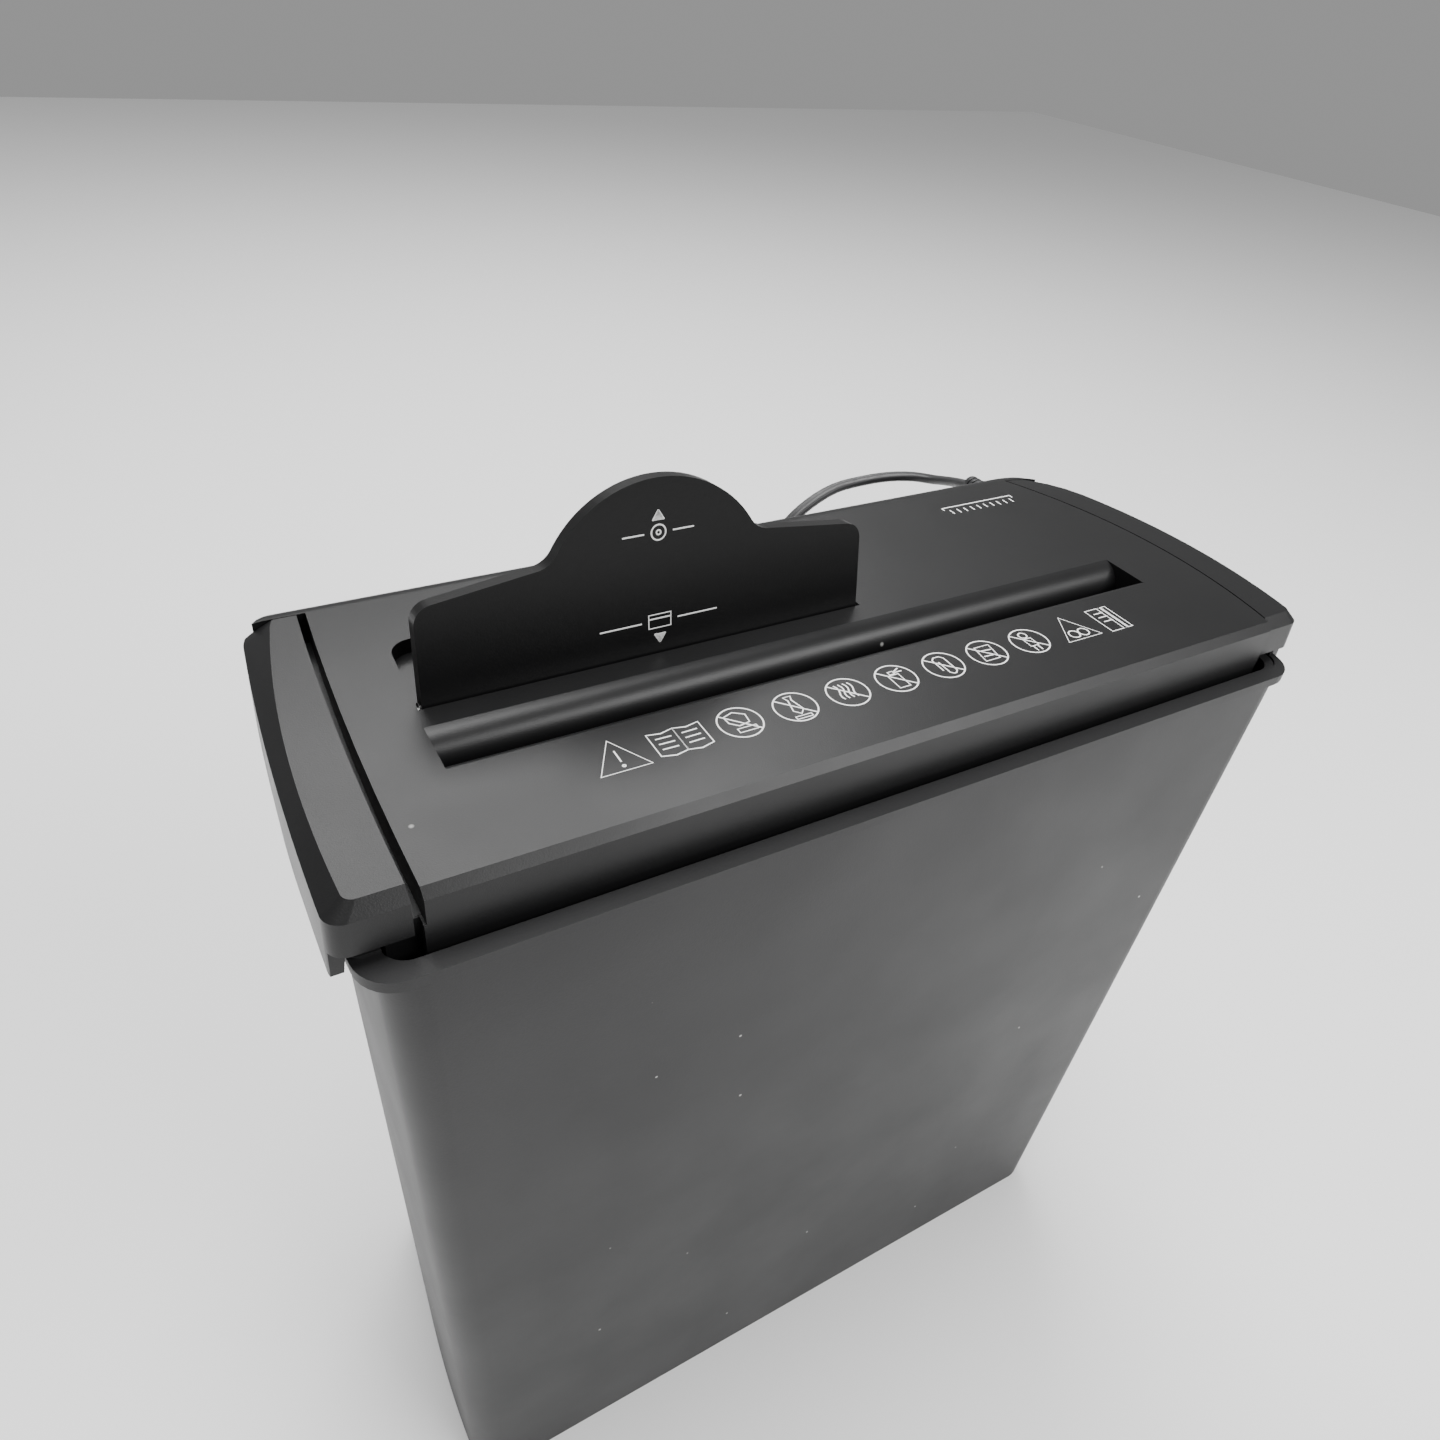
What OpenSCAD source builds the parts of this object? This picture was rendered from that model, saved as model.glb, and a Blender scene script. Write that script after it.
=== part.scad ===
// Desktop strip-cut paper shredder: a head that lies on a tapered waste bin,
// with a paper slot, a disc and card slot behind a fold-down flap, a pair of
// geared cutters, a motor and a mains lead. Origin at the middle of the base.

/* [Head] */
// Height of the top face above the floor
top_z = 312; // [290:1:340]
// Half length of the head at the widest place of its ends
head_x = 150; // [148:0.5:152]
// Front face of the head, measured from the middle
head_front = 57.2; // [56.5:0.1:57.6]
// Rear face of the head, measured from the middle
head_rear = 57.4; // [56.5:0.1:57.6]
// Radius of the bowed left end
bow_left = 385; // [340:5:450]
// Radius of the bowed right end
bow_right = 170; // [165:5:220]
// Radius of the straighter lower edge of the left end
flare_left = 900; // [700:20:1200]
// Thickness of the moulded top
cover_t = 2.6; // [2:0.1:3]
// Width of the open joint beside the left end cap
cap_gap = 2.3; // [1.5:0.1:3]
// Width of the closed joint beside the right end cap
cap_seam = 0.5; // [0.3:0.1:1]

/* [Paper slot] */
// Length of the paper slot
slot_l = 224; // [220:1:226]
// Middle of the slot, to the right of the middle of the head
slot_x = -3; // [-4:0.5:-2]
// Rear edge of the slot
slot_rear = -7; // [-8:0.1:-6]
// Front wall of the slot
slot_front = -21.2; // [-22:0.1:-20]

/* [Disc and card flap] */
// Width of the flap
flap_w = 128; // [124:1:130]
// Middle of the flap, to the right of the middle of the head
flap_x = -49.5; // [-51:0.5:-48]
// Thickness of the flap
flap_t = 4; // [3.6:0.1:4]
// Backward lean of the open flap, in degrees
flap_lean = 8; // [0:1:12]
// Height of the round crest above the hinge
crest_h = 48.6; // [44:0.2:49]
// Radius of the round crest
crest_r = 32; // [24:0.5:34]
// Length of the disc slot behind the flap
disc_slot_l = 122; // [120.5:0.5:124]

/* [Bin] */
// Height of the bin rim above the floor
rim_z = 296; // [270:1:300]
// Wall of the bin
bin_wall = 2; // [1.6:0.1:3]
// Inward slope of each bin wall from the rim to the base
bin_draft = 7; // [3:0.5:12]

/* [Cutters] */
// Distance between the two cutter shafts
cutter_gap = 27; // [26.5:0.1:27.5]
// Radius of a cutting disc
disc_r = 15; // [14.5:0.1:15]
// Thickness of a cutting disc
disc_t = 5.6; // [5:0.1:5.7]
// Pitch of the cutting discs along a shaft
disc_pitch = 12; // [12:0.5:12]
// Number of discs on the front shaft
front_discs = 19; // [17:1:19]

/* [Mains lead] */
// Width of the flat mains lead
cord_w = 5.2; // [5:0.1:5.6]
// Thickness of the flat mains lead
cord_t = 3.4; // [3.2:0.1:3.6]

/* [Hidden] */
$fn = 48;
eps = 0.01;

// Ends of the head and the bin bulge most at these distances from the middle.
bulge_left = -27;
bulge_right = -15;
flare_bulge = -40;
end_bevel = 3;
front_bevel = 2.1;
rear_round = [5, 2.5];
skirt_low = 24;
block_low = 12.6;
ledge = [9.2, 11.5];
seam_left = -131;
seam_right = 134;
seam_left_r = 1100;
cap_rear = 52.1;

// Bin opening and rim.
rim_out = [3.1, 63.4];
rim_in = [9.5, 58.5];
rim_t = 3;
bin_shift = 2.2;

// Hinge of the flap, and its pocket.
hinge_y = 2.4;
hinge_z = top_z - 2;
pocket_d = 4.3;
rod_r = 0.9;

// Screw posts that close the head.
boss_at = [[-122, -47], [126, -45.9], [-122, 45], [25, 46]];
board_at = [[-96, 46], [6, 46]];

// Cutter frame.
plate_t = 1.5;
plate_left = slot_x - 113.3;
plate_right = slot_x + 113.3;
nip_y = -10;
shaft_z = top_z - 43;
front_y = nip_y - cutter_gap / 2;
rear_y = nip_y + cutter_gap / 2;
hex_r = 6.35;
journal_r = 5;
spacer_r = 9.5;
run_fit = 0.06;
rod_at = [[-42, -22], [-42, -62], [22, -62], [22, -14]];

lever_at = [-28, top_z - 20];

// Gear train, with stub involute teeth.
pressure = 25;
addendum = 0.85;
dedendum = 1.15;
motor_at = [35, top_z - 33];
first_at = [37.5, top_z - 48];
rear_at = [rear_y, shaft_z];
teeth_pinion = 10;
teeth_first_big = 28;
teeth_first_small = 12;
teeth_second_big = 36;
teeth_second_small = 12;
teeth_final = 30;
teeth_cutter = 18;
mod_pinion = 0.8;
mod_first = 1;
mod_final = 1.5;
reach_first = mod_first * (teeth_first_small + teeth_second_big) / 2;
reach_final = mod_final * (teeth_second_small + teeth_final) / 2;
second_at = meet(rear_at, reach_final, first_at, reach_first);
gear_w = [3.6, 3, 4];
layer_1 = plate_right + plate_t + 0.5;
layer_2 = layer_1 + gear_w[0] + 0.4;
layer_3 = layer_2 + gear_w[1] + 0.4;
axle_r = 2.5;

// Motor.
motor_r = 16.5;
motor_x = [38, 106];

// Mains lead: points by hand from the gland to the coil, then the coil.
cord_route = [[126.5, 76, 298], [128, 82, 296], [130, 89, 293.4], [131, 96, 290.8],
              [131, 103, 288.3], [128, 111, 286.5], [121, 118, 284.5], [111, 123, 282],
              [99, 126, 279], [87, 126, 274], [76.5, 125, 267], [67, 123, 257], [60, 120, 243],
              [56, 118, 226], [53, 115, 204], [50, 112, 178], [47, 109, 150], [44, 106, 122],
              [41, 103, 96], [38, 101, 72], [35.5, 100, 50], [34, 101, 32], [33.5, 105, 17],
              [33.8, 112, 7.5], [34, 120, 3], [34, 130, 1.8]];
coil_at = [0, 130];
coil_r = [21, 36.5];
coil_h = 8.6;
tail_y = 96;
gland_at = [121.2, 55.2, top_z - 10.8];
gland_turn = [0, 0, -15];
gland_dip = 7;

// Where two circles about p and q meet, on the upper side.
function meet(p, rp, q, rq) =
    let (d = norm(q - p), a = (rp * rp - rq * rq + d * d) / (2 * d), h = sqrt(rp * rp - a * a),
         u = (q - p) / d)
    p + a * u + h * [-u[1], u[0]];
function angle_to(p, q) = atan2(q[1] - p[1], q[0] - p[0]);
function inv(a) = tan(a) * 180 / PI - a;
function polar(r, a) = r * [cos(a), sin(a)];

// Plan of the bowed head, drawn in from its widest line by inset.
module bowed(inset, front, rear) {
    intersection() {
        translate([-200, -front]) square([400, front + rear]);
        translate([bow_left - head_x, bulge_left]) circle(bow_left - inset, $fn = 480);
        translate([head_x - bow_right, bulge_right]) circle(bow_right - inset, $fn = 220);
    }
}

module rounded(r) {
    offset(r = r, $fn = 32) offset(delta = -r) children();
}

// The same plan with small front corners and larger rear corners.
module plan(inset, front, rear, corner = 4, rear_left = 10, rear_right = 34) {
    intersection() {
        rounded(corner) bowed(inset, front, rear);
        rounded(rear_left) intersection() {
            translate([-200, -300]) square([600, 300 + rear]);
            translate([bow_left - head_x, bulge_left]) circle(bow_left - inset, $fn = 480);
        }
        rounded(rear_right) intersection() {
            translate([-400, -300]) square([600, 300 + rear]);
            translate([head_x - bow_right, bulge_right]) circle(bow_right - inset, $fn = 220);
        }
    }
}

// Extrudes a plan between two depths below the top face.
module layer(low, high) {
    translate([0, 0, top_z - low]) linear_extrude(low - high) children();
}

// Turns a profile in Y and Z, with its depth below the top, into a bar along X.
module bar(x0, x1) {
    translate([x0, 0, top_z]) rotate([90, 0, 90]) linear_extrude(x1 - x0) children();
}

// A cylinder along X at a place in Y and Z.
module rod_x(at, r, x0, x1) {
    translate([x0, at[0], at[1]]) rotate([0, 90, 0]) cylinder(r = r, h = x1 - x0);
}

module left_of_seam(clear) {
    difference() {
        translate([-200, -100]) square([100, 200]);
        translate([seam_left_r + seam_left - cap_gap + clear, -25]) circle(seam_left_r, $fn = 800);
    }
}

module right_of_seam(clear) {
    difference() {
        translate([100, -100]) square([100, 200]);
        translate([seam_right - clear - 154, bulge_right]) circle(154, $fn = 200);
    }
}

// Plan of both end cap places, grown by a clearance on the inner side.
module cap_places(left_clear, right_clear, rear_clear) {
    intersection() {
        union() {
            left_of_seam(left_clear);
            right_of_seam(right_clear);
        }
        cap_limit(rear_clear);
    }
}

// Rounded rear ends of the caps; the cover's rear strip wraps round them.
module cap_limit(clear) {
    intersection() {
        rounded(11) intersection() {
            translate([-200, -300]) square([600, 300 + cap_rear + clear]);
            translate([flare_left - head_x, flare_bulge]) circle(flare_left + 3 + clear, $fn = 900);
        }
        rounded(32) intersection() {
            translate([-400, -300]) square([600, 300 + cap_rear + clear]);
            translate([head_x - bow_right, bulge_right]) circle(bow_right + 3 + clear, $fn = 220);
        }
    }
}

// Corners where the front of the skirt steps back behind the end caps.
module cap_fronts(grow) {
    translate([-200, -154]) square([200 + seam_left - 0.1 + grow, 99.9 + grow]);
    translate([seam_right - 6.1 - grow, -154]) square([100, 99.9 + grow]);
}

module head_block() {
    intersection() {
        layer(block_low, 0) flared_plan(2, 1.8, head_front, head_rear, 4);
        bar(-160, 160) polygon(concat(
            [[-head_front, -20], [-head_front, -front_bevel], [front_bevel - head_front, 0]],
            [for (a = [90 : -15 : 0]) [head_rear - rear_round[0] * (1 - cos(a)),
                                       -rear_round[1] * (1 - sin(a))]],
            [[head_rear, -20]]));
    }
}

module slot_profile() {
    polygon(concat([for (a = [100 : 8 : 180]) [slot_rear + 1.39, -7.88] + polar(8, a)],
                   [[slot_rear - 6.61, -13], [slot_front, -13]],
                   [for (a = [0 : 15 : 90]) [slot_front - 2.1, -2.1] + polar(2.1, a)],
                   [[slot_front - 2.1, 1], [slot_rear, 1]]));
}

module flap_outline(grow) {
    shoulder = 30.2;
    end_h = 26.6;
    offset(delta = grow) offset(r = -7, $fn = 32) offset(r = 7, $fn = 32) union() {
        translate([0, crest_h - crest_r]) circle(crest_r, $fn = 96);
        rounded(5) polygon([[-flap_w / 2, -12], [flap_w / 2, -12], [flap_w / 2 - 1.3, end_h],
                            [33, shoulder], [-33, shoulder], [1.3 - flap_w / 2, end_h]]);
    }
}

module flap_pocket() {
    intersection() {
        flap_outline(0.9);
        translate([-100, -2.4]) square([200, 80]);
    }
}

module top_cover() {
    color([0.09, 0.09, 0.095]) difference() {
        union() {
            difference() {
                union() {
                    intersection() {
                        head_block();
                        layer(block_low + 1, -1) difference() {
                            square(400, center = true);
                            cap_places(cap_gap, cap_seam, 0.3);
                        }
                    }
                    layer(ledge[1], ledge[0]) plan(4.6, 53.8, cap_rear - 2);
                    layer(12.3, ledge[0] + 0.1) difference() {
                        plan(10.4, head_front, head_rear);
                        cap_fronts(0);
                    }
                    layer(skirt_low, 12.2) difference() {
                        plan(10.4, head_front, head_rear, 4, 10, 20);
                        cap_fronts(0);
                    }
                    layer(14.9, ledge[1] - 0.1) difference() {
                        plan(4.9, 46, 46, 4, 10, 18);
                        plan(9.6, 80, 80, 4, 10, 18);
                    }
                }
                layer(block_low + 12.4, cover_t) intersection() {
                    plan(18.7, 54.8, 54.8, 4, 10, 14);
                    translate([seam_left + 2.2, -80]) square([400, 160]);
                }
                layer(skirt_low + 1, 12.4) difference() {
                    plan(12.6, 54.8, 54.8, 4, 10, 18);
                    cap_fronts(2.2);
                }
            }
            bar(slot_x - slot_l / 2 - 2.4, slot_x + slot_l / 2 + 2.4)
                polygon([[-24.5, -12], [-4, -12], [-4, -2], [-24.5, -2]]);
            layer(pocket_d + cover_t, 2) translate([flap_x, hinge_y]) intersection() {
                flap_outline(3);
                translate([-100, -5]) square([200, 80]);
            }
            for (p = boss_at) {
                translate([p[0], p[1], top_z - 20]) cylinder(r = 3.6, h = 20 - cover_t + 0.2);
            }
        }
        bar(slot_x - slot_l / 2, slot_x + slot_l / 2) slot_profile();
        layer(pocket_d, -1) translate([flap_x, hinge_y]) flap_pocket();
        layer(9, 3) translate([flap_x - disc_slot_l / 2, 6.4]) square([disc_slot_l, 5.2]);
        rod_x([hinge_y, hinge_z], rod_r, flap_x - flap_w / 2 - 5, flap_x + flap_w / 2 + 5);
        for (p = boss_at) {
            translate([p[0], p[1], top_z - 21]) cylinder(r = 1.25, h = 13);
        }
        gland_hole();
        translate([78, 50, top_z - 11.6]) cube([16, 10, 6]);
        for (x = [-139, 138]) {
            translate([x, -20, top_z - 13]) cylinder(r = 2.05, h = 6);
        }
        translate([-141.2, 10, top_z - 16]) cylinder(r = 1.56, h = 8);
    }
}

// Outer shape of both end caps before the head's ends are picked out of it.
module cap_block() {
    intersection() {
        hull() {
            layer(eps, 0) plan(end_bevel + 1.5, 53.1, 57, 2.5);
            layer(end_bevel, end_bevel - eps) flared_plan(1.5, 0.6, 56.1, 58, 4.5);
            layer(19, 19 - eps) flared_plan(0, 0, 56.4, 58.4, 4.5);
        }
        layer(20, -1) cap_limit(0);
    }
}

module cap_hollow() {
    intersection() {
        hull() {
            layer(2.3, 2.2) flared_plan(4, 5.2, 54.2, 54, 3);
            layer(20, 19) flared_plan(2, 2.2, 54.4, 55, 3);
        }
        layer(21, 0) cap_limit(-1.7);
    }
}

// The head's plan with the left end drawn out to its straighter lower edge.
module flared_plan(inset, left_inset, front, rear, corner) {
    plan(inset, front, rear, corner);
    rounded(corner) intersection() {
        rounded(13) intersection() {
            translate([-200, -300]) square([240, 300 + rear]);
            translate([flare_left - head_x, flare_bulge]) circle(flare_left - left_inset, $fn = 900);
        }
        translate([-200, -front]) square([180, 300]);
    }
}

module end_cap_shell() {
    difference() {
        cap_block();
        cap_hollow();
        layer(20, 12) translate([-200, -100]) square([400, 46.6]);
        layer(20, 12) translate([-200, 36]) square([400, 30]);
        gland_hole();
    }
}

module end_cap(peg_x) {
    color([0.09, 0.09, 0.095]) {
        intersection() {
            end_cap_shell();
            layer(21, -1) children();
        }
        translate([peg_x, -20, top_z - 11]) cylinder(r = 2, h = 9);
    }
}

module left_end_cap() {
    end_cap(-139) left_of_seam(0);
}

module right_end_cap() {
    end_cap(138) right_of_seam(0);
}

module disc_flap() {
    color([0.03, 0.03, 0.032]) translate([flap_x, hinge_y, hinge_z]) rotate([-flap_lean, 0, 0])
    difference() {
        union() {
            translate([0, flap_t / 2, 0]) rotate([90, 0, 0]) linear_extrude(flap_t) intersection() {
                flap_outline(0);
                translate([-100, 0]) square([200, 80]);
            }
            translate([-flap_w / 2, 0, 0]) rotate([0, 90, 0]) cylinder(r = flap_t / 2, h = flap_w);
        }
        translate([-flap_w / 2 - 1, 0, 0]) rotate([0, 90, 0])
            cylinder(r = rod_r + 0.05, h = flap_w + 2);
    }
}

module flap_hinge_rod() {
    color("silver")
        rod_x([hinge_y, hinge_z], rod_r, flap_x - flap_w / 2 - 4.5, flap_x + flap_w / 2 + 4.5);
}

// Chutes under the slots: front wall, wedge between the chutes, rear wall, ends.
module feed_guide() {
    x0 = plate_left + 0.4;
    x1 = plate_right - 0.4;
    color([0.13, 0.13, 0.14]) difference() {
        union() {
            bar(x0, x1) polygon([[-24, -12.1], [slot_front, -12.1], [-12.8, -27], [-15.6, -27]]);
            bar(x0, x1) polygon([[-11.5, -12.1], [-3.9, -12.1], [-3.9, -7.1], [5.4, -7.1],
                                 [-6.9, -27], [-8.6, -27]]);
            for (x = [slot_x - 5.6, slot_x + 3.4]) {
                bar(x, x + 2.2) polygon([[-31, -12.1], [-22, -12.1], [-19.6, -16], [-17, -20.5], [-18, -23],
                                         [-31, -23]]);
            }
            bar(slot_x + 3.4, slot_x + 12.6) polygon([[-38.5, -12.1], [-23, -12.1], [-23, -14.4],
                                                      [-38.5, -14.4]]);
            bar(x0, x1) polygon([[12.6, -7.1], [15.4, -7.1], [3.1, -27], [0.3, -27]]);
            for (x = [x0, x1 - 1.8]) {
                bar(x, x + 1.8) polygon([[-24, -12.1], [-3.9, -12.1], [-3.9, -7.1], [15.4, -7.1],
                                         [3.1, -27], [-15.6, -27]]);
            }
        }
        bar(slot_x - 3, slot_x + 3) polygon([[-30, -11], [-14, -11], [-11.5, -28], [-30, -28]]);
        rod_x(lever_at, 1.36, slot_x - 6, slot_x + 6);
    }
}

module lower_housing() {
    color([0.08, 0.08, 0.085]) difference() {
        union() {
            difference() {
                layer(71, 12.8) difference() {
                    plan(12.9, 54.5, 54.5, 6, 10, 18);
                    cap_fronts(2.5);
                }
                layer(69, 12) difference() {
                    plan(14.6, 52.7, 52.7, 5, 9, 17);
                    cap_fronts(4.3);
                }
            }
            for (p = boss_at) {
                translate([p[0], p[1], top_z - 70]) cylinder(r = 3.4, h = 49.8);
            }
            for (p = board_at) {
                translate([p[0], p[1], top_z - 70]) cylinder(r = 3, h = 43);
                translate([p[0], p[1], top_z - 70]) cylinder(r = 1.5, h = 45.6);
            }
        }
        layer(72, 68) translate([plate_left + 2, -30]) square([223, 42]);
        for (p = boss_at) {
            translate([p[0], p[1], top_z - 72]) cylinder(r = 1.6, h = 54);
            translate([p[0], p[1], top_z - 72]) cylinder(r = 2.7, h = 9);
        }
        gland_hole();
    }
}

module side_plate(x) {
    color([0.72, 0.72, 0.74]) difference() {
        bar(x, x + plate_t) rounded(4) polygon([[-47, -15.5], [-47, -67], [50, -67], [50, -34],
                                                [40, -20], [34, -9], [18, -9], [16, -15.5]]);
        for (y = [front_y, rear_y]) {
            rod_x([y, shaft_z], 7, x - 1, x + 3);
        }
        for (p = rod_at) {
            rod_x([p[0], top_z + p[1]], 1.6, x - 1, x + 3);
        }
        children();
    }
}

module left_side_plate() {
    side_plate(plate_left - plate_t);
}

module right_side_plate() {
    side_plate(plate_right) {
        rod_x(motor_at, 5, plate_right - 1, plate_right + 3);
        for (p = [first_at, second_at]) {
            rod_x(p, axle_r, plate_right - 1, plate_right + 3);
        }
    }
}

module tie_rods() {
    color("silver") for (p = rod_at) {
        difference() {
            rod_x([p[0], top_z + p[1]], 3, plate_left, plate_right);
            rod_x([p[0], top_z + p[1]], 1.25, plate_left - 1, plate_left + 9);
            rod_x([p[0], top_z + p[1]], 1.25, plate_right - 9, plate_right + 1);
        }
    }
}

// One pan-head screw along X, its head on the side that dir points to.
module side_screw(p, x, dir) {
    translate([x, p[0], top_z + p[1]]) rotate([0, 90 * dir, 0]) difference() {
        union() {
            translate([0, 0, -7]) cylinder(r = 1.25, h = 7.1);
            cylinder(r = 2.6, h = 0.7);
        }
        translate([0, 0, 0.3]) cylinder(r = 1.1, h = 2, $fn = 6);
    }
}

module frame_screws() {
    color([0.8, 0.8, 0.78]) for (p = rod_at) {
        side_screw(p, plate_left - plate_t, -1);
        side_screw(p, plate_right + plate_t, 1);
    }
}

module housing_screws() {
    color([0.2, 0.2, 0.2]) for (p = boss_at) {
        translate([p[0], p[1], top_z - 65]) difference() {
            union() {
                cylinder(r = 2.5, h = 2);
                cylinder(r = 1.25, h = 55);
            }
            translate([0, 0, -1]) cylinder(r = 1.2, h = 2.2, $fn = 6);
        }
    }
}

module cutter_bushes() {
    color([0.7, 0.5, 0.25]) for (y = [front_y, rear_y], side = [0, 1]) {
        x = side == 0 ? plate_left - plate_t : plate_right;
        inner = side == 0 ? x + plate_t : x - 1.5;
        difference() {
            union() {
                rod_x([y, shaft_z], 7, x, x + plate_t);
                rod_x([y, shaft_z], 8.4, inner, inner + 1.5);
            }
            rod_x([y, shaft_z], journal_r + run_fit, x - 3, x + plate_t + 3);
        }
    }
}

// Hexagonal shaft with round journals that run in the side plates.
module cutter_shaft(y, end) {
    color([0.6, 0.6, 0.62]) {
        translate([plate_left + 1.8, y, shaft_z]) rotate([0, 90, 0])
            cylinder(r = hex_r, h = plate_right - plate_left - 3.6, $fn = 6);
        rod_x([y, shaft_z], journal_r, plate_left - plate_t - 3, plate_left + 1.8);
        rod_x([y, shaft_z], journal_r, plate_right - 1.8, layer_1);
        rod_x([y, shaft_z], 3.5, layer_1, end);
    }
}

module hex_bore(y) {
    translate([plate_left, y, shaft_z]) rotate([0, 90, 0]) cylinder(r = hex_r, h = 230, $fn = 6);
}

// Discs with three bite notches each, spread along one shaft.
module cutter_discs(y, count, twist) {
    color([0.5, 0.5, 0.52]) difference() {
        for (i = [0 : count - 1]) {
            x = slot_x + (i - (count - 1) / 2) * disc_pitch;
            difference() {
                rod_x([y, shaft_z], disc_r, x - disc_t / 2, x + disc_t / 2);
                for (k = [0 : 2]) {
                    translate([x, y, shaft_z]) rotate([twist * i + 120 * k, 0, 0])
                        translate([-5, -0.8, disc_r - 1]) cube([10, 1.6, 3]);
                }
            }
        }
        hex_bore(y);
    }
}

module spacers(y, count) {
    gap = disc_pitch - disc_t;
    first = slot_x - (count + 1) * disc_pitch / 2 + disc_t / 2;
    last = slot_x + (count + 1) * disc_pitch / 2 - disc_t / 2 - gap;
    low = max(first, plate_left + 2.4);
    high = min(last + gap, plate_right - 2.4);
    color([0.42, 0.42, 0.44]) difference() {
        union() {
            for (i = [1 : count - 1]) {
                rod_x([y, shaft_z], spacer_r, first + i * disc_pitch, first + i * disc_pitch + gap);
            }
            rod_x([y, shaft_z], spacer_r, low, first + gap);
            rod_x([y, shaft_z], spacer_r, last, high);
        }
        hex_bore(y);
    }
}

module front_cutter_shaft() {
    cutter_shaft(front_y, layer_1 + gear_w[0] + 1);
}

module rear_cutter_shaft() {
    cutter_shaft(rear_y, layer_3 + gear_w[2] + 1.4);
}

module front_cutter_discs() {
    cutter_discs(front_y, front_discs, 7);
}

module rear_cutter_discs() {
    cutter_discs(rear_y, front_discs - 1, -7);
}

module front_spacers() {
    spacers(front_y, front_discs);
}

module rear_spacers() {
    spacers(rear_y, front_discs - 1);
}

// Outline of a spur gear, with one tooth centred on its first axis.
function gear_outline(m, teeth, slack = 0.12) =
    let (rp = m * teeth / 2, rb = rp * cos(pressure), ra = rp + addendum * m,
         rr = rp - dedendum * m, start = max(rb, rr + 0.01), half = 90 / teeth,
         shrink = slack * m / rp * 180 / PI / 2)
    [for (k = [0 : teeth - 1], side = [-1, 1], i = [0 : 4])
        let (n = side < 0 ? i : 4 - i, r = n == 0 ? rr : start + (ra - start) * (n - 1) / 3,
             a = half - shrink + inv(pressure) - inv(acos(min(1, rb / max(r, start)))))
        polar(r, k * 360 / teeth + side * a)];

module gear(m, teeth, at, x, w, turn, bore) {
    translate([x, at[0], at[1]]) rotate([90, 0, 90]) difference() {
        rotate(turn) linear_extrude(w) polygon(gear_outline(m, teeth));
        translate([0, 0, -1]) cylinder(r = bore, h = w + 2);
    }
}

module front_cutter_gear() {
    color([0.55, 0.55, 0.56])
        gear(mod_final, teeth_cutter, [front_y, shaft_z], layer_1, gear_w[0], 180 / teeth_cutter, 3.5);
}

module rear_cutter_gear() {
    color([0.55, 0.55, 0.56])
        gear(mod_final, teeth_cutter, rear_at, layer_1, gear_w[0], 0, 3.5);
}

module final_drive_gear() {
    color([0.5, 0.5, 0.5])
        gear(mod_final, teeth_final, rear_at, layer_3, gear_w[2], angle_to(rear_at, second_at), 3.5);
}

module second_gear() {
    toward_rear = angle_to(rear_at, second_at) + 180;
    color([0.85, 0.83, 0.76]) {
        gear(mod_first, teeth_second_big, second_at, layer_2, gear_w[1],
             angle_to(second_at, first_at), axle_r + 0.05);
        gear(mod_final, teeth_second_small, second_at, layer_2 + gear_w[1], gear_w[2] + 0.5,
             toward_rear + 180 / teeth_second_small, axle_r + 0.05);
    }
}

module first_gear() {
    toward_second = angle_to(second_at, first_at) + 180;
    color([0.85, 0.83, 0.76]) {
        gear(mod_pinion, teeth_first_big, first_at, layer_1, gear_w[0],
             angle_to(first_at, motor_at), axle_r + 0.05);
        gear(mod_first, teeth_first_small, first_at, layer_1 + gear_w[0], gear_w[1] + 0.4,
             toward_second + 180 / teeth_first_small, axle_r + 0.05);
    }
}

module gear_axles() {
    color("silver") {
        rod_x(first_at, axle_r, plate_right, layer_2 + gear_w[1] + 2);
        rod_x(second_at, axle_r, plate_right, layer_3 + gear_w[2] + 1.6);
    }
}

module retaining_rings() {
    color([0.35, 0.35, 0.36]) {
        difference() {
            rod_x(first_at, 4.4, layer_2 + gear_w[1] + 0.4, layer_2 + gear_w[1] + 1.2);
            rod_x(first_at, axle_r, layer_2, layer_3 + 9);
        }
        difference() {
            rod_x(second_at, 4.4, layer_3 + gear_w[2] + 0.4, layer_3 + gear_w[2] + 1.2);
            rod_x(second_at, axle_r, layer_2, layer_3 + 9);
        }
    }
}

// Profile of one stripper finger: a ring around the spacer with a foot.
module finger_profile() {
    difference() {
        union() {
            intersection() {
                circle(14.4, $fn = 64);
                translate([-6, -20]) square([30, 40]);
            }
            polygon([[6, -12], [20, -12], [21, -15], [21, -23], [14.5, -23]]);
        }
        circle(spacer_r + 0.4, $fn = 64);
    }
}

// Comb whose fingers lift cut strips out of the spaces between the discs.
module stripper_comb(y, side, count) {
    flip = side < 0 ? [1, 0, 0] : [0, 0, 0];
    color([0.1, 0.1, 0.1]) difference() {
        translate([0, y, shaft_z]) mirror(side < 0 ? [0, 1, 0] : [0, 0, 0]) {
            for (i = [1 : count - 1]) {
                x = slot_x + (i - count / 2) * disc_pitch;
                translate([x - 2.8, 0, 0]) rotate([90, 0, 90]) linear_extrude(5.6) finger_profile();
            }
            translate([plate_left + 0.5, 0, 0]) rotate([90, 0, 90])
                linear_extrude(plate_right - plate_left - 1)
                polygon([[13.5, -15.5], [21, -15.5], [21, -23], [13.5, -23]]);
        }
        rod_x([y + side * 18.5, shaft_z - 19], 3.02, plate_left, plate_right);
    }
}

module front_stripper_comb() {
    stripper_comb(front_y, -1, front_discs);
}

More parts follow.
